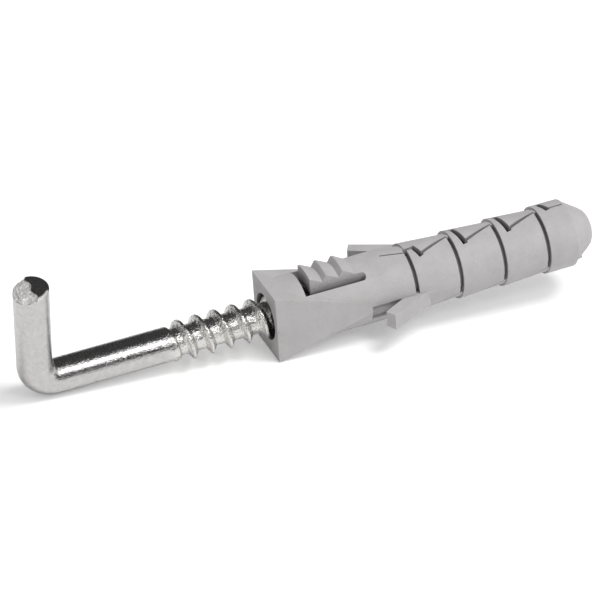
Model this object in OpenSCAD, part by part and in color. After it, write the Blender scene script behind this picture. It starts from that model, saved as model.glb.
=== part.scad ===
// Hook wall plug: a one-piece nylon expansion plug with a steel L hook screwed into its mouth.
// Millimetres. The plug's axis is X, from the mouth (origin) to the tip. Z is up, on the toothed side.

/* [Plug] */
// Outer diameter of the round body
plug_d = 10; // [10:0.1:10.4]
// Length from the mouth to the tip
plug_len = 50; // [49:0.5:54]
// Height of the square head at the mouth
head_h = 10.5; // [10.2:0.1:11.2]
// Width of the square head at the mouth
head_w = 8.7; // [8.5:0.1:9.6]
// Length over which the head's top and bottom run in to the axis
head_run = 17; // [15:0.5:18]
// Length over which the head's sides widen to the round body
side_run = 13.5; // [13:0.5:14]
// Bore at the mouth, where the screw enters freely
mouth_d = 6.9; // [6.8:0.1:7.1]
// Bore where the thread bites
bore_d = 6.2; // [6.2:0.05:6.4]
// Bore in the expanding part
pilot_d = 3.2; // [2.8:0.1:3.6]

/* [Grooves and slots] */
// First groove from the mouth
groove_x = 21.3; // [21.3:0.1:21.6]
// Distance from groove to groove
groove_pitch = 6.87; // [6.8:0.01:6.9]
// Width of a groove
groove_w = 0.6; // [0.45:0.05:0.7]
// Depth of a groove
groove_deep = 0.9; // [0.7:0.05:1]
// Width of the long gentle strokes of the zigzag slot
thin_w = 0.46; // [0.36:0.02:0.5]
// Width of the short steep strokes of the zigzag slot
wide_w = 0.8; // [0.6:0.05:0.9]
// How far each back segment leans in towards the tip
sink = 0.6; // [0.4:0.05:0.7]

/* [Tongue] */
// Start of the tongue's window
window_x = 5; // [4.8:0.1:5.2]
// Width of the window
window_w = 6.6; // [6.4:0.1:6.8]
// Gap before and beside the tongue
tongue_gap = 1.1; // [0.9:0.05:1.2]
// Length of the window
window_len = 9.4; // [9.2:0.1:9.5]
// Height of the teeth above the round body
tooth_h = 0.95; // [0.7:0.05:1.1]
// Distance from tooth to tooth
tooth_pitch = 2.5; // [2.4:0.05:2.5]

/* [Barbs] */
// Place of the barb's root along the plug
barb_root = 23.3; // [23:0.1:23.6]
// Place of the barb's free end along the plug
barb_end = 16.3; // [16:0.1:16.6]
// How far the free end stands from the axis
barb_out = 8.4; // [7.6:0.1:8.8]
// Thickness of the barb at its free end
barb_t = 1.65; // [1.4:0.05:1.8]
// Height of the barb
barb_h = 2.4; // [2.2:0.1:2.6]

/* [Hook] */
// Diameter of the hook's wire
wire_d = 5; // [4.8:0.1:5]
// Distance from the arm's axis to the mouth
arm_x = 34.5; // [32:0.5:38]
// Height of the arm's end above the screw's axis
arm_h = 17.8; // [14:0.1:22]
// Radius of the bend's centre line
bend_r = 3.2; // [3.2:0.1:4.5]
// Turn of the arm from the plug's top towards the front
arm_turn = 10.9; // [0:0.1:45]
// Distance from the mouth to the shank's shoulder, where the thread starts
thread_out = 14.9; // [12.9:0.2:16.9]
// Depth of the screw's point in the plug
screw_in = 18; // [16:0.5:18.5]
// Thread diameter over the crests
thread_d = 6; // [5.8:0.05:6]
// Core diameter of the thread
core_d = 4.1; // [3.8:0.05:4.2]
// Thread pitch
pitch = 2.75; // [2.6:0.05:2.9]

/* [Hidden] */
$fn = 64;
eps = 0.02;
plug_r = plug_d / 2;
far = 2 * plug_d;
half_w = head_w / 2;
half_h = head_h / 2;
head_edge = 0.05;

// Bore
free_len = 11;
bite_start = 14;
bite_end = 19;
taper_end = 24;
pilot_end = plug_len - 5;

// Nose
nose_x = plug_len - 3.5;
nose_r = plug_r - 0.12;
nose_back = 1;
nose_back_r = 3.2;
tip_back = 0.3;
tip_back_r = 2.65;
tip_r = 2.2;

// Grooves, slots and the segments between them
last_groove = groove_x + 3 * groove_pitch;
rim_w = 0.6;
slot_floor = 0.4;
slit_w = 0.24;
slit_back = 3.6;
slit_y = [-0.35, -1.1];
root_y = -0.5;
steep_x = [1.35, 1.85];
steep_y = [1.4, -1.88];
gentle_y = -0.1;
last_y = [1.6, -0.1];
last_len = 4.2;
lean_turn = 10;
lean_floor = -2.2;
side_turn = 30;
side_from = [1.2, -1.7];
side_rise = 0.6;

// Tongue
tongue_w = window_w - 2 * tongue_gap;
tongue_x = window_x + tongue_gap;
window_end = window_x + window_len;
window_floor = 1.5;
crest_w = 0.22;
steep_run = 0.55;
tooth_r = plug_r + tooth_h;
valley_r = plug_r + 0.1;
tooth_foot = 1;

// Barbs and their pockets
barb_z = 0.1;
barb_root_r = plug_r - 0.25;
pocket_x = 14.3;
pocket_y = 3.9;
pocket_back = 2.3;
barb_inner = [2.35, 0.05];
barb_fillet = [1.6, 0.6];

// Hook
wire_r = wire_d / 2;
core_r = core_d / 2;
crest_r = thread_d / 2;
shank_taper = 0.6;
point_len = 5;
point_r = 0.4;
crop_tilt = 14;
crop_side = 0.2;
crop_in = 0.15;

// Thread
steps = 24;
start_turn = 150;
start_in = 0.05;
run_in = 0.6;
ridge_sink = 0.25;
ridge_base = 1.9;
ridge_crest = 0.45;
point_bare = 1.2;

// Shoulder where the shank runs out in the first turn of the thread
shoulder_turn = 40;
shoulder_steps = 22;
shoulder_fade = 4;
shoulder_rise = 2.2;
shoulder_w = 0.4;
shoulder_in = 0.3;
shoulder_r = wire_r - 0.03;

// Place of a groove along the plug
function groove_at(i) = groove_x + i * groove_pitch;

// A solid of revolution about the X axis, from a profile of (x, radius) points
module turned(profile) {
    rotate([0, 90, 0])
        rotate_extrude()
            polygon([for (p = profile) [p[1], p[0]]]);
}

// A straight stroke with round ends in the XY plane
module stroke(a, b, w) {
    d = b - a;
    translate(a)
        rotate(atan2(d[1], d[0]))
            translate([0, -w / 2])
                square([norm(d), w]);
    translate(a)
        circle(d = w, $fn = 24);
    translate(b)
        circle(d = w, $fn = 24);
}

// A straight stroke with square ends in the XY plane
module bar(a, b, w) {
    d = b - a;
    translate(a)
        rotate(atan2(d[1], d[0]))
            translate([-w / 2, -w / 2])
                square([norm(d) + w, w]);
}

// Round body and the square head that tapers into it
module head_form() {
    intersection() {
        union() {
            rotate([0, 90, 0])
                cylinder(r = plug_r, h = groove_x);
            rotate([90, 0, 0])
                linear_extrude(height = far, center = true)
                    polygon([[0, half_h], [head_run, head_edge], [head_run, -head_edge], [0, -half_h]]);
        }
        linear_extrude(height = far, center = true)
            polygon([
                [0, half_w], [side_run, plug_r], [groove_x, plug_r],
                [groove_x, -plug_r], [side_run, -plug_r], [0, -half_w]
            ]);
    }
}

// Round part from the first groove to the blunt cone of the nose
module shaft_form() {
    turned([
        [groove_x - 1, 0], [groove_x - 1, plug_r], [nose_x, plug_r], [nose_x, nose_r],
        [plug_len - nose_back, nose_back_r], [plug_len - tip_back, tip_back_r],
        [plug_len, tip_r], [plug_len, 0]
    ]);
}

// Bore: free for the screw, then narrow where the thread bites, then a pilot for the tip
module bore() {
    turned([
        [-eps, 0], [-eps, mouth_d / 2], [free_len, mouth_d / 2], [bite_start, bore_d / 2],
        [bite_end, bore_d / 2], [taper_end, pilot_d / 2], [pilot_end, pilot_d / 2],
        [pilot_end + 1, 0]
    ]);
}

// Window around the tongue: a gap before it and one along each side
module tongue_window() {
    side_y = (window_w - tongue_gap) / 2;
    translate([0, 0, window_floor])
        linear_extrude(height = far) {
            translate([window_x, -window_w / 2])
                square([tongue_gap, window_w]);
            for (s = [-1, 1])
                stroke(
                    [window_x + tongue_gap / 2, s * side_y],
                    [window_end - tongue_gap / 2, s * side_y],
                    tongue_gap
                );
        }
}

// Three saw teeth on the tongue, steep towards the mouth
module teeth() {
    intersection() {
        for (i = [0:2])
            turned(tooth(tongue_x + i * tooth_pitch, i));
        translate([0, -tongue_w / 2, 0])
            cube([far, tongue_w, far]);
    }
}

// Profile of one tooth: the first stands straight up, the last runs down to the body
function tooth(x, i) =
    let (
        front = x - (i == 0 ? 0 : steep_run),
        back = x + tooth_pitch - steep_run + eps,
        back_r = i == 2 ? plug_r - eps : valley_r
    )
    [
        [front, plug_r - tooth_foot], [front, valley_r], [x, tooth_r],
        [x + crest_w, tooth_r], [back, back_r], [back, plug_r - tooth_foot]
    ];

// Grooves round the front: the first stops at the barb, the others run on to the lower slot
module grooves() {
    for (i = [0:3])
        intersection() {
            difference() {
                translate([groove_at(i) - groove_w / 2, 0, 0])
                    rotate([0, 90, 0])
                        cylinder(r = plug_r + 1, h = groove_w);
                rotate([0, 90, 0])
                    cylinder(r = plug_r - groove_deep, h = far * 3);
            }
            if (i == 0)
                translate([0, -far, 2 * barb_z])
                    cube([far * 3, far + root_y, far]);
            else
                groove_sector();
        }
}

// The front sector that the grooves run round, from the top slot to the side slots
module groove_sector() {
    foot = far * tan(side_turn - 5);
    rotate([90, 0, 90])
        linear_extrude(height = far * 3)
            polygon([[0, 0], [gentle_y, far], [-far, far], [-far, -foot]]);
}

// Zigzag slot along the top
module top_slot() {
    v = [steep_x[1], steep_y[1]];
    translate([0, 0, slot_floor])
        linear_extrude(height = far) {
            bar([groove_x - slit_back, slit_y[0]], [groove_x - slit_w / 2, slit_y[1]], slit_w);
            bar([groove_x, root_y], [groove_x + steep_x[0], root_y], thin_w);
            bar([groove_x + steep_x[0], root_y], [groove_x + v[0], v[1]], wide_w);
            for (i = [0:2])
                translate([groove_at(i), 0]) {
                    if (i > 0)
                        bar([steep_x[0], steep_y[0]], v, wide_w);
                    bar(v, [groove_pitch - groove_w / 2, gentle_y], thin_w);
                }
            translate([last_groove, 0]) {
                bar([steep_x[0], last_y[0]], [steep_x[1], last_y[1]], wide_w);
                bar([steep_x[1], last_y[1]], [last_len, last_y[1]], slit_w);
            }
        }
}

// Slanting slots low on one side, one in each segment
module side_slots() {
    for (i = [0:2])
        rotate([side_turn, 0, 0])
            rotate([90, 0, 0])
                translate([groove_at(i), 0, slot_floor])
                    linear_extrude(height = far)
                        bar(side_from, [groove_pitch, side_rise], thin_w);
}

// What is taken off a back segment that leans in from one place to another
module lean_cut(from, to) {
    lean = atan2(sink, to - from);
    difference() {
        translate([from, 0, 0])
            rotate([0, 90, 0])
                cylinder(r = plug_r + 1, h = to - from);
        translate([from, 0, 0])
            rotate([lean_turn, 0, 0])
                rotate([0, 90, -lean])
                    translate([0, 0, -1])
                        cylinder(r = plug_r, h = to - from + 3);
    }
}

// Back segments: each leans in towards the tip, and the later ones keep a full rim at the groove
module back_segments() {
    intersection() {
        union() {
            lean_cut(groove_x - slit_back, groove_x);
            lean_cut(groove_x, groove_at(1) - rim_w);
            for (i = [1:2])
                lean_cut(groove_at(i), groove_at(i + 1) - rim_w);
        }
        translate([0, 0, lean_floor])
            linear_extrude(height = far)
                polygon(concat(
                    [[groove_x - slit_back, slit_y[0]], [groove_x, slit_y[1]], [groove_x, root_y]],
                    [[groove_x + steep_x[0], root_y]],
                    [for (i = [0:2]) each zigzag(groove_at(i), i)],
                    [[last_groove, far], [groove_x - slit_back, far]]
                ));
    }
}

// Corner points of the zigzag between two grooves
function zigzag(x, i) = concat(
    i == 0 ? [] : [[x, steep_y[0]], [x + steep_x[0], steep_y[0]]],
    [[x + steep_x[1], steep_y[1]], [x + groove_pitch - eps, gentle_y]]
);

// Pocket beside a barb
module pocket() {
    translate([0, 0, barb_z - barb_h])
        linear_extrude(height = barb_h)
            polygon([
                [pocket_x, -far], [pocket_x, -pocket_y],
                [barb_root - pocket_back, -pocket_y + 2 * barb_inner[1]],
                [barb_root - pocket_back, -far]
            ]);
}

// Barb joined to the body at its tip side, its free end spread towards the mouth
module barb() {
    lean = atan2(barb_out - barb_root_r, barb_root - barb_end);
    translate([0, 0, barb_z - barb_h])
        linear_extrude(height = barb_h)
            polygon([
                [barb_root, -barb_root_r],
                [barb_end, -barb_out],
                [barb_end - barb_t * sin(lean), -barb_out + barb_t * cos(lean)],
                [barb_root - barb_inner[0], -pocket_y + barb_inner[1]],
                [barb_root - barb_fillet[0], -pocket_y + barb_fillet[1]]
            ]);
}

module plug_body() {
    color([0.72, 0.72, 0.71])
        difference() {
            union() {
                difference() {
                    union() {
                        head_form();
                        shaft_form();
                        teeth();
                    }
                    tongue_window();
                    grooves();
                    side_slots();
                    mirror([0, 1, 0])
                        side_slots();
                    back_segments();
                    for (a = [0, 180])
                        rotate([a, 0, 0])
                            pocket();
                }
                for (a = [0, 180])
                    rotate([a, 0, 0])
                        barb();
            }
            bore();
            top_slot();
        }
}

// A solid swept round the screw's axis, from sections of (x, radius, turn) points
module swept(sections) {
    n = len(sections[0]);
    count = len(sections) - 1;
    pts = [for (s = sections) each [for (p = s) [p[0], p[1] * cos(p[2]), p[1] * sin(p[2])]]];
    sides = [
        for (i = [0:count - 1])
            for (j = [0:n - 1])
                let (a = n * i + j, b = n * i + (j + 1) % n)
                each [[a, b, b + n], [a, b + n, a + n]]
    ];
    first = [for (j = [1:n - 2]) [0, j + 1, j]];
    last = [for (j = [1:n - 2]) [n * count, n * count + j, n * count + j + 1]];
    polyhedron(points = pts, faces = concat(sides, first, last), convexity = 20);
}

// Core radius of the screw's threaded part at a place along it
function core_at(x) = x < screw_in - point_len ? core_r
    : point_r + (core_r - point_r) * (screw_in - x) / point_len;

// Crest radius of the thread, rising out of the shank and running out on the point
function crest_at(x, i) =
    let (rise = min(1, i / (steps * run_in)))
    (shoulder_r + (crest_r - shoulder_r) * rise) * core_at(x) / core_r;

// Helical ridge of the thread, right-handed
module thread_ridge() {
    start = start_in - thread_out;
    count = floor((screw_in - point_bare - start) / pitch * steps);
    swept([
        for (i = [0:count])
            let (
                a = start_turn + 360 * i / steps,
                x = start + pitch * i / steps,
                inner = core_at(x) - ridge_sink,
                outer = crest_at(x, i),
                wide = ridge_base / 2 * core_at(x) / core_r,
                slim = ridge_crest / 2
            )
            [[x - wide, inner, a], [x - slim, outer, a], [x + slim, outer, a], [x + wide, inner, a]]
    ]);
}

// Where the shank's full width follows the first turn of the thread and then fades out
module shoulder() {
    from = -thread_out - shoulder_in;
    swept([
        for (i = [0:shoulder_steps])
            let (
                a = shoulder_turn + 360 * i / steps,
                end = -thread_out + shoulder_rise * i / steps,
                fade = min(1, (shoulder_steps - i) / shoulder_fade),
                inner = core_r - ridge_sink,
                outer = core_r - ridge_sink / 2 + (shoulder_r - core_r + ridge_sink / 2) * fade
            )
            [[from, inner, a], [from, outer, a], [end, outer, a], [end + shoulder_w, inner, a]]
    ]);
}

// Bend from the shank up to the arm
module bend() {
    translate([bend_r - arm_x, 0, bend_r])
        rotate([90, 0, 0])
            rotate([0, 0, 180])
                rotate_extrude(angle = 90)
                    translate([bend_r, 0])
                        circle(r = wire_r);
}

// Arm with its cropped end: one half flat, the other broken away at a slant
module arm() {
    difference() {
        translate([-arm_x, 0, bend_r])
            cylinder(r = wire_r, h = arm_h - bend_r);
        translate([-arm_x - crop_side, 0, arm_h - crop_in])
            rotate([0, -crop_tilt, 0])
                translate([-far, -far / 2, 0])
                    cube([far, far, far]);
    }
}

// Smooth shank, threaded core and point
module screw_core() {
    turned([
        [bend_r - arm_x, 0], [bend_r - arm_x, wire_r], [-thread_out, wire_r],
        [-thread_out + shank_taper, core_r], [screw_in - point_len, core_r],
        [screw_in, point_r], [screw_in, 0]
    ]);
}

module hook_screw() {
    color([0.8, 0.81, 0.82])
        rotate([arm_turn, 0, 0])
            union() {
                screw_core();
                bend();
                arm();
                thread_ridge();
                shoulder();
            }
}

plug_body();
hook_screw();
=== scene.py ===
# Hook wall plug lying on a pale table: grey nylon plug, zinc-plated L hook.
import math

import bpy
from mathutils import Matrix, Vector, noise


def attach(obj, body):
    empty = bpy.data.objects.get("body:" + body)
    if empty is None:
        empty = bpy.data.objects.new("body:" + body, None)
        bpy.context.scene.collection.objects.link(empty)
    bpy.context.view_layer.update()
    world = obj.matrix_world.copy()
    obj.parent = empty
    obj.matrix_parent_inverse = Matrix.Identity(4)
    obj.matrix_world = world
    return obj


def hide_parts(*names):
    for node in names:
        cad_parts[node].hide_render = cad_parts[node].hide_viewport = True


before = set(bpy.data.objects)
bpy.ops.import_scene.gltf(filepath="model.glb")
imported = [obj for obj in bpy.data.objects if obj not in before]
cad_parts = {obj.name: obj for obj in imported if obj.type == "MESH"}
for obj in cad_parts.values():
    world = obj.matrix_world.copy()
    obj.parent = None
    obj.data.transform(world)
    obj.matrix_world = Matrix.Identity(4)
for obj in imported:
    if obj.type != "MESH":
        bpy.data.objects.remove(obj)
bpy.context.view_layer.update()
print("stage: frame loaded")

mm = 0.001


# Camera, at the place and turn that the photograph was taken from
cameraSettings = {
    "azimuth": -20.23,  # degrees from the front, towards the hook
    "elevation": 33.70,
    "roll": -4.13,
    "distance": 544.0 * mm,
    "aim": (5.3 * mm, 0.0, 1.13 * mm),
    "lens": 231.3,
}


def addCamera(s):
    a = math.radians(s["azimuth"])
    e = math.radians(s["elevation"])
    k = math.radians(s["roll"])
    back = Vector((math.sin(a) * math.cos(e), -math.cos(a) * math.cos(e), math.sin(e)))
    level = Vector((math.cos(a), math.sin(a), 0.0))
    up = back.cross(level)
    right = level * math.cos(k) + up * math.sin(k)
    top = up * math.cos(k) - level * math.sin(k)
    data = bpy.data.cameras.new("camera")
    data.lens = s["lens"]
    data.sensor_width = 36.0
    data.clip_start = 0.01
    data.clip_end = 20.0
    cam = bpy.data.objects.new("camera", data)
    bpy.context.scene.collection.objects.link(cam)
    turn = Matrix((right, top, back)).transposed().to_4x4()
    cam.matrix_world = Matrix.Translation(Vector(s["aim"]) + back * s["distance"]) @ turn
    bpy.context.scene.camera = cam


addCamera(cameraSettings)
bpy.context.scene.view_settings.view_transform = "Standard"

# Table: the plug rests on the lower edge of its mouth and the hook on its bend, so the table slopes
tableSettings = {
    "slope": 5.0,  # degrees about Y
    "edgeHeight": -5.27 * mm,
    "size": 2.4,
    "colour": (0.92, 0.92, 0.92, 1.0),
    "lift": 0.24,  # added where the camera looks, so that the open floor is white
}


def addTable(s):
    bpy.ops.mesh.primitive_plane_add(size=s["size"])
    table = bpy.context.object
    table.name = "table"
    slope = Matrix.Rotation(math.radians(s["slope"]), 4, "Y")
    table.matrix_world = Matrix.Translation((0.0, 0.0, s["edgeHeight"])) @ slope
    mat = bpy.data.materials.new("tableTop")
    mat.use_nodes = True
    bsdf = mat.node_tree.nodes["Principled BSDF"]
    bsdf.inputs["Base Color"].default_value = s["colour"]
    bsdf.inputs["Roughness"].default_value = 1.0
    bsdf.inputs["Specular IOR Level"].default_value = 0.0
    nt = mat.node_tree
    path = nt.nodes.new("ShaderNodeLightPath")
    lift = nt.nodes.new("ShaderNodeMath")
    lift.operation = "MULTIPLY"
    lift.inputs[1].default_value = s["lift"]
    nt.links.new(path.outputs["Is Camera Ray"], lift.inputs[0])
    nt.links.new(lift.outputs[0], bsdf.inputs["Emission Strength"])
    bsdf.inputs["Emission Color"].default_value = (1.0, 1.0, 1.0, 1.0)
    table.data.materials.append(mat)


addTable(tableSettings)

# Room: soft light all round, and plain white for the camera and for what the steel mirrors
roomSettings = {"soft": 0.46, "white": 1.0}


def addRoom(s):
    world = bpy.data.worlds.new("room")
    bpy.context.scene.world = world
    world.use_nodes = True
    nt = world.node_tree
    nt.nodes.clear()
    out = nt.nodes.new("ShaderNodeOutputWorld")
    soft = nt.nodes.new("ShaderNodeBackground")
    soft.inputs["Strength"].default_value = s["soft"]
    white = nt.nodes.new("ShaderNodeBackground")
    white.inputs["Strength"].default_value = s["white"]
    for node in (soft, white):
        node.inputs["Color"].default_value = (1.0, 1.0, 1.0, 1.0)
    path = nt.nodes.new("ShaderNodeLightPath")
    either = nt.nodes.new("ShaderNodeMath")
    either.operation = "MAXIMUM"
    also = nt.nodes.new("ShaderNodeMath")
    also.operation = "MAXIMUM"
    mix = nt.nodes.new("ShaderNodeMixShader")
    nt.links.new(path.outputs["Is Camera Ray"], either.inputs[0])
    nt.links.new(path.outputs["Is Glossy Ray"], either.inputs[1])
    nt.links.new(either.outputs[0], also.inputs[0])
    nt.links.new(path.outputs["Is Transmission Ray"], also.inputs[1])
    nt.links.new(also.outputs[0], mix.inputs[0])
    nt.links.new(soft.outputs[0], mix.inputs[1])
    nt.links.new(white.outputs[0], mix.inputs[2])
    nt.links.new(mix.outputs[0], out.inputs[0])


addRoom(roomSettings)

# Lamps: a softbox in front, which the wire mirrors as its bright line, and a wide one overhead
lampSettings = {
    "softbox": {"place": (0.24, -0.56, 0.65), "size": 0.28, "power": 1.3, "mirrored": True},
    "overhead": {"place": (0.44, -0.24, 0.88), "size": 0.42, "power": 5.5, "mirrored": False},
}


def addLamp(name, s):
    data = bpy.data.lights.new(name, "AREA")
    data.shape = "DISK"
    data.size = s["size"]
    data.energy = s["power"]
    lamp = bpy.data.objects.new(name, data)
    bpy.context.scene.collection.objects.link(lamp)
    lamp.location = s["place"]
    lamp.rotation_euler = (-Vector(s["place"])).to_track_quat("-Z", "Y").to_euler()
    lamp.visible_glossy = s["mirrored"]


for lampName, one in lampSettings.items():
    addLamp(lampName, one)

# Dark studio that the steel mirrors: from the horizon behind to just past overhead, and low in front
cardSettings = {
    "radius": 0.95,
    "length": 5.0,
    "sides": 180,
    # degrees up from behind, from and to, and the glow
    "spans": {"darkOver": (0.0, 113.0, 0.055), "darkFront": (143.0, 180.0, 0.05)},
}


def addCard(name, span, s):
    bpy.ops.mesh.primitive_cylinder_add(
        vertices=s["sides"], radius=s["radius"], depth=s["length"], end_fill_type="NOTHING",
        rotation=(0.0, math.pi / 2, 0.0),
    )
    card = bpy.context.object
    card.name = name
    bpy.ops.object.transform_apply(rotation=True)
    bpy.ops.object.mode_set(mode="EDIT")
    bpy.ops.mesh.select_all(action="DESELECT")
    bpy.ops.object.mode_set(mode="OBJECT")
    for face in card.data.polygons:
        turn = math.degrees(math.atan2(face.center.z, face.center.y)) % 360.0
        face.select = not span[0] <= turn <= span[1]
    bpy.ops.object.mode_set(mode="EDIT")
    bpy.ops.mesh.delete(type="FACE")
    bpy.ops.object.mode_set(mode="OBJECT")
    mat = bpy.data.materials.new(name)
    mat.use_nodes = True
    nt = mat.node_tree
    nt.nodes.clear()
    out = nt.nodes.new("ShaderNodeOutputMaterial")
    glow = nt.nodes.new("ShaderNodeEmission")
    glow.inputs["Strength"].default_value = span[2]
    nt.links.new(glow.outputs[0], out.inputs[0])
    card.data.materials.append(mat)
    card.visible_camera = False
    card.visible_diffuse = False
    card.visible_shadow = False
    card.visible_transmission = False


for cardName, cardSpan in cardSettings["spans"].items():
    addCard(cardName, cardSpan, cardSettings)
print("stage: camera, table, lamps and cards placed")


# Materials
def newMaterial(name):
    mat = bpy.data.materials.new(name)
    mat.use_nodes = True
    nt = mat.node_tree
    return mat, nt, nt.nodes["Principled BSDF"]


def noiseOn(nt, vector, scale, detail=2.0, rough=0.5):
    tex = nt.nodes.new("ShaderNodeTexNoise")
    tex.inputs["Scale"].default_value = scale
    tex.inputs["Detail"].default_value = detail
    tex.inputs["Roughness"].default_value = rough
    nt.links.new(vector, tex.inputs["Vector"])
    return tex.outputs["Fac"]


def spread(nt, value, low, high, toLow, toHigh):
    ramp = nt.nodes.new("ShaderNodeMapRange")
    ramp.inputs["From Min"].default_value = low
    ramp.inputs["From Max"].default_value = high
    ramp.inputs["To Min"].default_value = toLow
    ramp.inputs["To Max"].default_value = toHigh
    nt.links.new(value, ramp.inputs["Value"])
    return ramp.outputs["Result"]


def tint(nt, factor, low, high):
    mix = nt.nodes.new("ShaderNodeMix")
    mix.data_type = "RGBA"
    mix.inputs["A"].default_value = low
    mix.inputs["B"].default_value = high
    nt.links.new(factor, mix.inputs["Factor"])
    return mix.outputs["Result"]


def bumpOn(nt, height, strength, distance, under=None):
    bump = nt.nodes.new("ShaderNodeBump")
    bump.inputs["Strength"].default_value = strength
    bump.inputs["Distance"].default_value = distance
    nt.links.new(height, bump.inputs["Height"])
    if under is not None:
        nt.links.new(under, bump.inputs["Normal"])
    return bump.outputs["Normal"]


def darken(nt, colour, shade):
    darker = nt.nodes.new("ShaderNodeMix")
    darker.data_type = "RGBA"
    darker.blend_type = "MULTIPLY"
    darker.inputs["Factor"].default_value = 1.0
    nt.links.new(colour, darker.inputs["A"])
    nt.links.new(shade, darker.inputs["B"])
    return darker.outputs["Result"]


# Painted shade: the colour is darkened where the ambient occlusion node finds a crevice or a pit
def paintCreviceShade(nt, colour, s):
    hollow = nt.nodes.new("ShaderNodeAmbientOcclusion")
    hollow.samples = 12
    hollow.only_local = True
    hollow.inputs["Distance"].default_value = s["reach"]
    closed, free, floor = s["creviceShade"]
    shade = spread(nt, hollow.outputs["AO"], closed, free, floor, 1.0)
    closed, free, floor = s["pitShade"]
    pitShade = nt.nodes.new("ShaderNodeMath")
    pitShade.operation = "MULTIPLY"
    nt.links.new(shade, pitShade.inputs[0])
    nt.links.new(spread(nt, hollow.outputs["AO"], closed, free, floor, 1.0), pitShade.inputs[1])
    return darken(nt, colour, pitShade.outputs[0])


def bore(nt, colour, place, s):
    # the bore and the depth of the window, where little light comes
    across = nt.nodes.new("ShaderNodeVectorMath")
    across.operation = "MULTIPLY"
    across.inputs[1].default_value = (0.0, 1.0, 1.0)
    nt.links.new(place, across.inputs[0])
    out = nt.nodes.new("ShaderNodeVectorMath")
    out.operation = "LENGTH"
    nt.links.new(across.outputs[0], out.inputs[0])
    axes = nt.nodes.new("ShaderNodeSeparateXYZ")
    nt.links.new(place, axes.inputs[0])
    near, far, shade = s["boreWidth"]
    deep = spread(nt, out.outputs["Value"], near, far, shade, 1.0)
    first, last = s["boreFrom"]
    either = nt.nodes.new("ShaderNodeMath")
    either.operation = "MAXIMUM"
    nt.links.new(deep, either.inputs[0])
    nt.links.new(spread(nt, axes.outputs["X"], first, last, 1.0, 0.0), either.inputs[1])
    first, last = s["boreTo"]
    beyond = nt.nodes.new("ShaderNodeMath")
    beyond.operation = "MAXIMUM"
    nt.links.new(either.outputs[0], beyond.inputs[0])
    nt.links.new(spread(nt, axes.outputs["X"], first, last, 0.0, 1.0), beyond.inputs[1])
    return darken(nt, colour, beyond.outputs[0])


nylonSettings = {
    "pale": (0.520, 0.507, 0.508, 1.0),
    "deep": (0.464, 0.451, 0.452, 1.0),
    "cloud": 330.0,  # per metre
    "grain": 4200.0,
    "speck": 0.91,
    "grainHeight": 0.05 * mm,
    "waveHeight": 0.16 * mm,
    "roughness": (0.46, 0.6),
    "glow": 0.06,
    "reach": 2.2 * mm,  # how far the painted crevice shade reaches
    "creviceShade": (0.20, 0.70, 0.72),  # open share from and to, and the painted shade at the bottom
    "pitShade": (0.04, 0.30, 0.40),
    "boreWidth": (3.5 * mm, 4.1 * mm, 0.25),  # from the axis, and the shade inside
    "boreFrom": (0.1 * mm, 0.9 * mm),
    "boreTo": (36.0 * mm, 42.0 * mm),
}


def nylonMaterial(s):
    mat, nt, bsdf = newMaterial("greyNylon")
    place = nt.nodes.new("ShaderNodeTexCoord").outputs["Object"]
    cloud = noiseOn(nt, place, s["cloud"], 3.0, 0.6)
    grain = noiseOn(nt, place, s["grain"], 3.0, 0.6)
    shade = tint(nt, spread(nt, cloud, 0.3, 0.7, 0.0, 1.0), s["deep"], s["pale"])
    shade = darken(nt, shade, spread(nt, grain, 0.3, 0.7, s["speck"], 1.0))
    # painted shade: the colour is darkened in crevices, and by place in the bore and the depth of the window
    nt.links.new(bore(nt, paintCreviceShade(nt, shade, s), place, s), bsdf.inputs["Base Color"])
    low, high = s["roughness"]
    nt.links.new(spread(nt, grain, 0.3, 0.7, low, high), bsdf.inputs["Roughness"])
    wave = bumpOn(nt, cloud, 0.6, s["waveHeight"])
    nt.links.new(bumpOn(nt, grain, 0.7, s["grainHeight"], wave), bsdf.inputs["Normal"])
    bsdf.inputs["Subsurface Weight"].default_value = s["glow"]
    bsdf.inputs["Subsurface Radius"].default_value = (0.6 * mm, 0.55 * mm, 0.5 * mm)
    bsdf.inputs["Subsurface Scale"].default_value = 1.0
    return mat


zincSettings = {
    "bright": (0.68, 0.672, 0.668, 1.0),
    "dull": (0.56, 0.55, 0.545, 1.0),
    "warm": (0.80, 0.785, 0.76, 1.0),  # in the thread
    "spots": 1500.0,  # per metre
    "fine": 5200.0,
    "fineHeight": 0.03 * mm,
    # painted shade in the thread's roots and other crevices: how far it reaches, and the shades, as for the nylon
    "reach": 1.7 * mm,
    "creviceShade": (0.22, 0.72, 0.30),
    "pitShade": (0.02, 0.20, 0.5),
    "rough": 1500.0,
    "drawn": (30.0, 900.0),  # drawing lines: along the whole wire, and round it
    "drawnHeight": 0.03 * mm,
    "spotHeight": 0.07 * mm,
    "threadHeight": 0.16 * mm,
    "threadFrom": (-16.2 * mm, -14.2 * mm),
    "fresh": (0.86, 0.85, 0.83, 1.0),  # on the torn end
    "tornRough": 0.3,
    "tornSoft": 0.5,
    "roughness": (0.12, 0.30),
}


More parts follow.
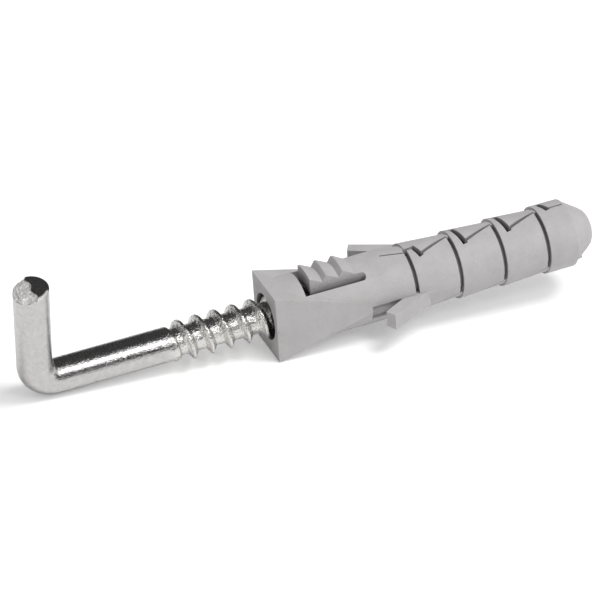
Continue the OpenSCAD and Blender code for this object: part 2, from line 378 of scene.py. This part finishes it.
def zincMaterial(s):
    mat, nt, bsdf = newMaterial("zincPlate")
    coords = nt.nodes.new("ShaderNodeTexCoord")
    place = coords.outputs["Object"]
    axes = nt.nodes.new("ShaderNodeSeparateXYZ")
    nt.links.new(place, axes.inputs[0])
    low, high = s["threadFrom"]
    thread = spread(nt, axes.outputs["X"], low, high, 0.0, 1.0)
    along = nt.nodes.new("ShaderNodeMapping")
    along.inputs["Scale"].default_value = (s["drawn"][0], s["drawn"][1] / 10.0, 1.0)
    nt.links.new(coords.outputs["UV"], along.inputs["Vector"])
    drawn = noiseOn(nt, along.outputs["Vector"], 1.0, 3.0, 0.7)
    spots = noiseOn(nt, place, s["spots"], 4.0, 0.65)
    fine = noiseOn(nt, place, s["fine"], 2.0, 0.5)
    rough = noiseOn(nt, place, s["rough"], 3.0, 0.6)
    plain = tint(nt, spread(nt, spots, 0.3, 0.7, 0.0, 1.0), s["dull"], s["bright"])
    warm = nt.nodes.new("ShaderNodeMix")
    warm.data_type = "RGBA"
    tinted = nt.nodes.new("ShaderNodeMath")
    tinted.operation = "MULTIPLY"
    nt.links.new(thread, tinted.inputs[0])
    nt.links.new(spread(nt, spots, 0.25, 0.5, 0.2, 1.0), tinted.inputs[1])
    nt.links.new(tinted.outputs[0], warm.inputs["Factor"])
    nt.links.new(plain, warm.inputs["A"])
    warm.inputs["B"].default_value = s["warm"]
    low, high = s["roughness"]
    torn = nt.nodes.new("ShaderNodeAttribute")
    torn.attribute_name = "torn"
    matt = nt.nodes.new("ShaderNodeMath")
    matt.operation = "MULTIPLY_ADD"
    nt.links.new(torn.outputs["Fac"], matt.inputs[0])
    matt.inputs[1].default_value = s["tornRough"]
    nt.links.new(spread(nt, fine, 0.3, 0.7, low, high), matt.inputs[2])
    nt.links.new(matt.outputs[0], bsdf.inputs["Roughness"])
    # the torn end and the burr take the fresh colour; on the burr it is partly a painted highlight
    lift = nt.nodes.new("ShaderNodeMix")
    lift.data_type = "RGBA"
    lift.inputs["B"].default_value = s["fresh"]
    nt.links.new(torn.outputs["Fac"], lift.inputs["Factor"])
    nt.links.new(warm.outputs["Result"], lift.inputs["A"])
    # painted shade: crevices darkened in the colour
    nt.links.new(paintCreviceShade(nt, lift.outputs["Result"], s), bsdf.inputs["Base Color"])
    lines = bumpOn(nt, drawn, 0.8, s["drawnHeight"])
    grain = bumpOn(nt, fine, 0.7, s["fineHeight"], bumpOn(nt, spots, 0.7, s["spotHeight"], lines))
    soft = nt.nodes.new("ShaderNodeMath")
    soft.operation = "MULTIPLY_ADD"
    nt.links.new(torn.outputs["Fac"], soft.inputs[0])
    soft.inputs[1].default_value = -s["tornSoft"]
    soft.inputs[2].default_value = 1.0
    nt.links.new(soft.outputs[0], bsdf.inputs["Metallic"])
    cast = nt.nodes.new("ShaderNodeBump")
    cast.inputs["Distance"].default_value = s["threadHeight"]
    uneven = nt.nodes.new("ShaderNodeMath")
    uneven.operation = "MAXIMUM"
    nt.links.new(thread, uneven.inputs[0])
    nt.links.new(torn.outputs["Fac"], uneven.inputs[1])
    nt.links.new(uneven.outputs[0], cast.inputs["Strength"])
    nt.links.new(rough, cast.inputs["Height"])
    nt.links.new(grain, cast.inputs["Normal"])
    nt.links.new(cast.outputs["Normal"], bsdf.inputs["Normal"])
    return mat


nylon = nylonMaterial(nylonSettings)
zinc = zincMaterial(zincSettings)
print("stage: materials made")


# Plug: the CAD solid with the last of the moulding's form cut in, its edges rounded as a mould leaves them
plugSettings = {
    "radius": 5.0,  # millimetres here and below
    "grooves": (21.3, 28.17, 35.04, 41.91),
    "wall": 0.3,  # from a groove's middle to its face
    "rim": 0.62,
    "rimEdge": -0.1,  # front edge of the rim that is cut away before each later groove
    "rimFloor": -2.2,
    "rimDepth": 0.59,
    "rimLean": 5.4,  # degrees
    "backTurn": 10.0,
    "lowTurn": -90.0,
    "lowSink": 0.36,
    "lowLead": 0.7,
    "slotFrom": (1.2, -1.7),
    "slotTo": (6.87, 0.6),
    "slotTurn": 30.0,
    "marks": (
        # place, size, turn about the plug: a lug low on the nose and a nib on the mouth's front edge
        ((47.2, 0.0, 3.9), (0.9, 0.5, 1.0), 125.0),
        ((0.23, -4.35, -0.3), (0.4, 0.24, 0.22), 0.0),
    ),
    "weld": 0.004,
    "flat": 0.6,  # degrees between faces that are one face
    "round": 0.10,
    "segments": 3,
    "sharp": 28.0,  # degrees, sharper edges are rounded
}


def openEdit(obj):
    bpy.ops.object.select_all(action="DESELECT")
    obj.select_set(True)
    bpy.context.view_layer.objects.active = obj
    bpy.ops.object.mode_set(mode="EDIT")
    bpy.ops.mesh.select_all(action="SELECT")


def bakeModifier(obj, name, kind, **values):
    mod = obj.modifiers.new(name, kind)
    for key, value in values.items():
        setattr(mod, key, value)
    bpy.ops.object.select_all(action="DESELECT")
    obj.select_set(True)
    bpy.context.view_layer.objects.active = obj
    bpy.ops.object.modifier_apply(modifier=name)


def addRod(radius, start, end, pivot, turn, lean):
    # a rod along the plug that leans in about its pivot
    bpy.ops.object.select_all(action="DESELECT")
    bpy.ops.mesh.primitive_cylinder_add(
        vertices=160, radius=radius * mm, depth=(end - start) * mm,
        location=(0.0, 0.0, (start + end) / 2 * mm - pivot * mm),
    )
    rod = bpy.context.object
    bpy.ops.object.transform_apply(location=True)
    rod.matrix_world = (
        Matrix.Translation((pivot * mm, 0.0, 0.0))
        @ Matrix.Rotation(math.radians(turn), 4, "X")
        @ Matrix.Rotation(-math.radians(lean), 4, "Z")
        @ Matrix.Rotation(math.radians(90.0), 4, "Y")
    )
    bpy.ops.object.transform_apply(location=True, rotation=True)
    return rod


def addCutter(start, end, pivot, turn, lean, planes, s):
    # the ring between a straight wide rod and one that leans in, trimmed by planes
    ring = addRod(s["radius"] + 1.5, start, end, pivot, 0.0, 0.0)
    inner = addRod(s["radius"], start - 2.0, end + 2.0, pivot, turn, lean)
    bakeModifier(ring, "inner", "BOOLEAN", operation="DIFFERENCE", object=inner, solver="EXACT")
    bpy.data.objects.remove(inner)
    for point, normal in planes:
        openEdit(ring)
        bpy.ops.mesh.bisect(
            plane_co=Vector(point) * mm, plane_no=Vector(normal).normalized(),
            use_fill=True, clear_outer=True, threshold=0.00001 * mm,
        )
        bpy.ops.mesh.select_all(action="SELECT")
        bpy.ops.mesh.normals_make_consistent(inside=False)
        bpy.ops.object.mode_set(mode="OBJECT")
    return ring


def joinAll(objects):
    bpy.ops.object.select_all(action="DESELECT")
    for obj in objects:
        obj.select_set(True)
    bpy.context.view_layer.objects.active = objects[0]
    bpy.ops.object.join()
    return objects[0]


def rimCutters(s):
    cutters = []
    for middle in s["grooves"][1:]:
        start, end = middle - s["rim"], middle + s["wall"]
        pivot = start - s["rimDepth"] / math.tan(math.radians(s["rimLean"]))
        planes = (
            ((0.0, s["rimEdge"], 0.0), (0.0, -1.0, 0.0)),
            ((0.0, 0.0, s["rimFloor"]), (0.0, 0.0, -1.0)),
        )
        cutters.append(addCutter(start, end, pivot, s["backTurn"], s["rimLean"], planes, s))
    return joinAll(cutters)


def lowCutters(s):
    cutters = []
    turn = math.radians(s["slotTurn"])
    up = Vector((0.0, -math.sin(turn), math.cos(turn)))
    (x0, v0), (x1, v1) = s["slotFrom"], s["slotTo"]
    normal = Vector((v0 - v1, 0.0, 0.0)) + up * (x1 - x0)
    for middle, after in zip(s["grooves"], s["grooves"][1:]):
        start, end = middle + x0, after + s["wall"]
        lean = math.degrees(math.atan2(s["lowSink"], end - start))
        point = Vector((middle + x0, 0.0, 0.0)) + up * v0
        planes = [(point, normal)]
        planes.append(((point.x, -point.y, point.z), (normal.x, -normal.y, normal.z)))
        cutters.append(addCutter(start, end, start - s["lowLead"], s["lowTurn"], lean, planes, s))
    return joinAll(cutters)


def markBlocks(s):
    blocks = []
    for place, size, turn in s["marks"]:
        bpy.ops.object.select_all(action="DESELECT")
        bpy.ops.mesh.primitive_cube_add(size=mm, location=Vector(place) * mm, scale=size)
        bpy.ops.object.transform_apply(location=True, scale=True)
        block = bpy.context.object
        block.rotation_euler = (math.radians(turn), 0.0, 0.0)
        bpy.ops.object.transform_apply(rotation=True)
        blocks.append(block)
    return joinAll(blocks)


def makePlug(s):
    mould = bpy.data.objects.new("plugMould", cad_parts["plug_body"].data.copy())
    bpy.context.scene.collection.objects.link(mould)
    openEdit(mould)
    bpy.ops.mesh.remove_doubles(threshold=s["weld"] * mm)
    bpy.ops.mesh.normals_make_consistent(inside=False)
    bpy.ops.object.mode_set(mode="OBJECT")
    tools = (("rims", rimCutters(s), "DIFFERENCE"), ("low", lowCutters(s), "DIFFERENCE"), ("marks", markBlocks(s), "UNION"))
    for name, tool, operation in tools:
        bakeModifier(mould, name, "BOOLEAN", operation=operation, object=tool, solver="EXACT")
        bpy.data.objects.remove(tool)
        openEdit(mould)
        bpy.ops.mesh.remove_doubles(threshold=s["weld"] * mm)
        bpy.ops.mesh.fill_holes(sides=4)
        bpy.ops.object.mode_set(mode="OBJECT")
    bakeModifier(mould, "flat", "DECIMATE", decimate_type="DISSOLVE", angle_limit=math.radians(s["flat"]))
    bakeModifier(
        mould, "round", "BEVEL", width=s["round"] * mm, segments=s["segments"], limit_method="ANGLE",
        angle_limit=math.radians(s["sharp"]), use_clamp_overlap=True, miter_outer="MITER_ARC",
    )
    bpy.ops.object.shade_smooth_by_angle(angle=math.radians(50.0))
    bakeModifier(mould, "even", "WEIGHTED_NORMAL", mode="FACE_AREA", weight=60, keep_sharp=True)
    return mould


plugMould = makePlug(plugSettings)
plugMould.data.materials.clear()
plugMould.data.materials.append(nylon)
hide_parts("plug_body")
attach(plugMould, "plug")
print("stage: plug made,", len(plugMould.data.polygons), "faces")

# Hook: one skin from the screw's point to the arm's broken end, rolled from a grid
hookSettings = {
    "armX": -34.5,  # millimetres here and below, in the hook's own frame
    "armTop": 17.8,
    "armTurn": 10.9,  # degrees towards the front
    "bend": 3.2,
    "wire": 2.5,
    "core": 2.05,
    "crest": 3.0,
    "pitch": 2.75,
    "point": 18.0,
    "pointLength": 5.0,
    "pointWidth": 0.4,
    "threadStart": -14.85,
    "startTurn": 150.0,  # degrees round the wire
    "riseTurns": 0.6,
    "crestFlat": 0.15,
    "foot": 0.80,
    "flank": 1.2,
    "shoulderFrom": -14.9,
    "shoulderTurn": 40.0,
    "shoulderTurns": 0.92,
    "shoulderRise": 2.2,
    "shoulderFade": 0.17,  # of a turn
    "shoulderSlope": 0.5,
    "around": 96,
    "fineStep": 0.075,
    "plainStep": 0.5,
    "capRings": 26,
}


def smooth(t):
    t = min(1.0, max(0.0, t))
    return t * t * (3.0 - 2.0 * t)


def threadRadius(x, turn, s):
    # turn in degrees from the wire's own +Y towards +Z
    point = min(1.0, (s["point"] - x) / s["pointLength"])
    core = s["core"] if point >= 1.0 else s["pointWidth"] + (s["core"] - s["pointWidth"]) * max(0.0, point)
    radius = core
    swept = (x - s["threadStart"]) / s["pitch"] * 360.0 + s["startTurn"]
    nearest = turn + 360.0 * round((swept - turn) / 360.0)
    if nearest >= s["startTurn"]:
        off = abs(swept - nearest) / 360.0 * s["pitch"]
        rise = min(1.0, (nearest - s["startTurn"]) / 360.0 / s["riseTurns"])
        top = s["wire"] + (s["crest"] - s["wire"]) * rise
        flank = max(0.0, 1.0 - max(0.0, off - s["crestFlat"]) / (s["foot"] - s["crestFlat"])) ** s["flank"]
        radius += (top - s["core"]) * flank * core / s["core"]
    # the shank's full width follows the first turn, then fades
    turns = ((turn - s["shoulderTurn"]) % 360.0) / 360.0
    edge = s["shoulderFrom"]
    keep = 1.0
    if turns < s["shoulderTurns"]:
        edge += s["shoulderRise"] * turns / s["shoulderTurns"]
        keep = smooth((s["shoulderTurns"] - turns) / s["shoulderFade"])
    shank = s["wire"] if x < s["shoulderFrom"] else s["core"] + (s["wire"] - s["core"]) * keep
    drop = 1.0 - smooth((x - edge) / s["shoulderSlope"])
    return max(radius, s["core"] + (shank - s["core"]) * drop if drop > 0.0 else 0.0)


def wireRows(s):
    # each row: centre, across direction in the X-Z plane, radius or None for the thread, length so far
    rows = [(s["point"], None)]
    x = s["point"]
    while x > s["shoulderFrom"] - 0.6:
        x -= s["fineStep"]
        rows.append((x, None))
    shankEnd = s["armX"] + s["bend"]
    count = int((x - shankEnd) / s["plainStep"])
    rows += [(x - (x - shankEnd) * i / count, "shank") for i in range(1, count + 1)]
    rows += [(i * 90.0 / 16, "bend") for i in range(1, 17)]
    tall = s["armTop"] - s["bend"]
    count = int(tall / s["plainStep"])
    rows += [(s["bend"] + tall * i / count, "arm") for i in range(1, count + 1)]
    rows += [(1.0 - i / s["capRings"], "cap") for i in range(1, s["capRings"] + 1)]
    return rows


def tearEdge(y):
    # where the flat side of the cropped end meets the torn side
    return 0.15 + 0.30 * noise.noise(Vector((y * 0.9, 3.1, 0.0))) + 0.14 * math.sin(y * 2.3)


def tornShare(x, y):
    return smooth((tearEdge(y) - x) / 0.3)


def burrAndHighlightShare(x, y):
    # bright burr along the front rim of the flat side: bare metal, and a painted highlight where the rim catches
    # the light
    return smooth((math.hypot(x, y) - 2.02) / 0.2) * smooth((-1.0 - y) / 0.5) * smooth((x + 0.3) / 0.4)


def brokenEnd(x, y, s):
    # height of the cropped end over a place across the arm: flat on one side, torn on the other
    torn = tornShare(x, y)
    tear = 0.30 * noise.noise(Vector((x * 1.1, y * 1.1, 7.7))) + 0.22 * noise.noise(Vector((x * 3.2, y * 3.2, 2.2)))
    cells = noise.cell(Vector((x * 1.6 + 5.0, y * 1.4, 1.0))) - 0.5
    rim = smooth((math.hypot(x, y) - s["wire"] + 0.22) / 0.22)
    drop = min(0.0, 0.30 * (x - tearEdge(y)) - 0.12 + tear + 0.16 * cells)
    return torn * drop - 0.12 * rim * rim * (1.0 - 0.5 * torn)


def wirePoint(row, turn, s):
    place, kind = row
    a = math.radians(turn)
    y, up = math.cos(a), math.sin(a)
    if kind is None:
        r = threadRadius(place, turn, s) if place < s["point"] - 0.01 else 0.0
        return Vector((place, r * y, r * up))
    if kind == "shank":
        return Vector((place, s["wire"] * y, s["wire"] * up))
    centre = Vector((s["armX"] + s["bend"], 0.0, s["bend"]))
    if kind == "bend":
        b = math.radians(place)
        out = Vector((-math.sin(b), 0.0, -math.cos(b)))
        return centre + out * (s["bend"] - s["wire"] * up) + Vector((0.0, s["wire"] * y, 0.0))
    across = s["wire"] * (place if kind == "cap" else 1.0)
    x, side = across * up, across * y
    height = s["armTop"] if kind == "cap" else place
    reach = smooth((height - s["armTop"] + 2.0) / 2.0)
    return Vector((s["armX"] + x, side, height + reach * brokenEnd(x, side, s)))


def makeHook(s):
    rows = wireRows(s)
    around = s["around"]
    bpy.ops.object.select_all(action="DESELECT")
    bpy.ops.mesh.primitive_grid_add(x_subdivisions=len(rows) - 1, y_subdivisions=around, size=1.0)
    hook = bpy.context.object
    hook.name = "hookWire"
    torn = hook.data.attributes.new("torn", "FLOAT", "POINT")
    for v in hook.data.vertices:
        row = rows[round((v.co.x + 0.5) * (len(rows) - 1))]
        turn = (360.0 * (v.co.y + 0.5) - 90.0) % 360.0
        v.co = wirePoint(row, turn, s) * mm
        if row[1] == "cap":
            x, y = v.co.x / mm - s["armX"], v.co.y / mm
            # the torn mask also holds the burr, whose bright matte finish is partly a painted highlight
            torn.data[v.index].value = max(tornShare(x, y), burrAndHighlightShare(x, y))
    bpy.ops.object.mode_set(mode="EDIT")
    bpy.ops.mesh.select_all(action="SELECT")
    bpy.ops.mesh.remove_doubles(threshold=0.004 * mm)
    bpy.ops.mesh.select_all(action="SELECT")
    bpy.ops.mesh.normals_make_consistent(inside=False)
    bpy.ops.object.mode_set(mode="OBJECT")
    hook.rotation_euler = (math.radians(s["armTurn"]), 0.0, 0.0)
    bpy.ops.object.transform_apply(rotation=True)
    bpy.ops.object.shade_smooth_by_angle(angle=math.radians(35.0))
    return hook


hookWire = makeHook(hookSettings)
hookWire.data.materials.append(zinc)
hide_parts("hook_screw")
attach(hookWire, "hook")
print("stage: hook made,", len(hookWire.data.polygons), "faces")
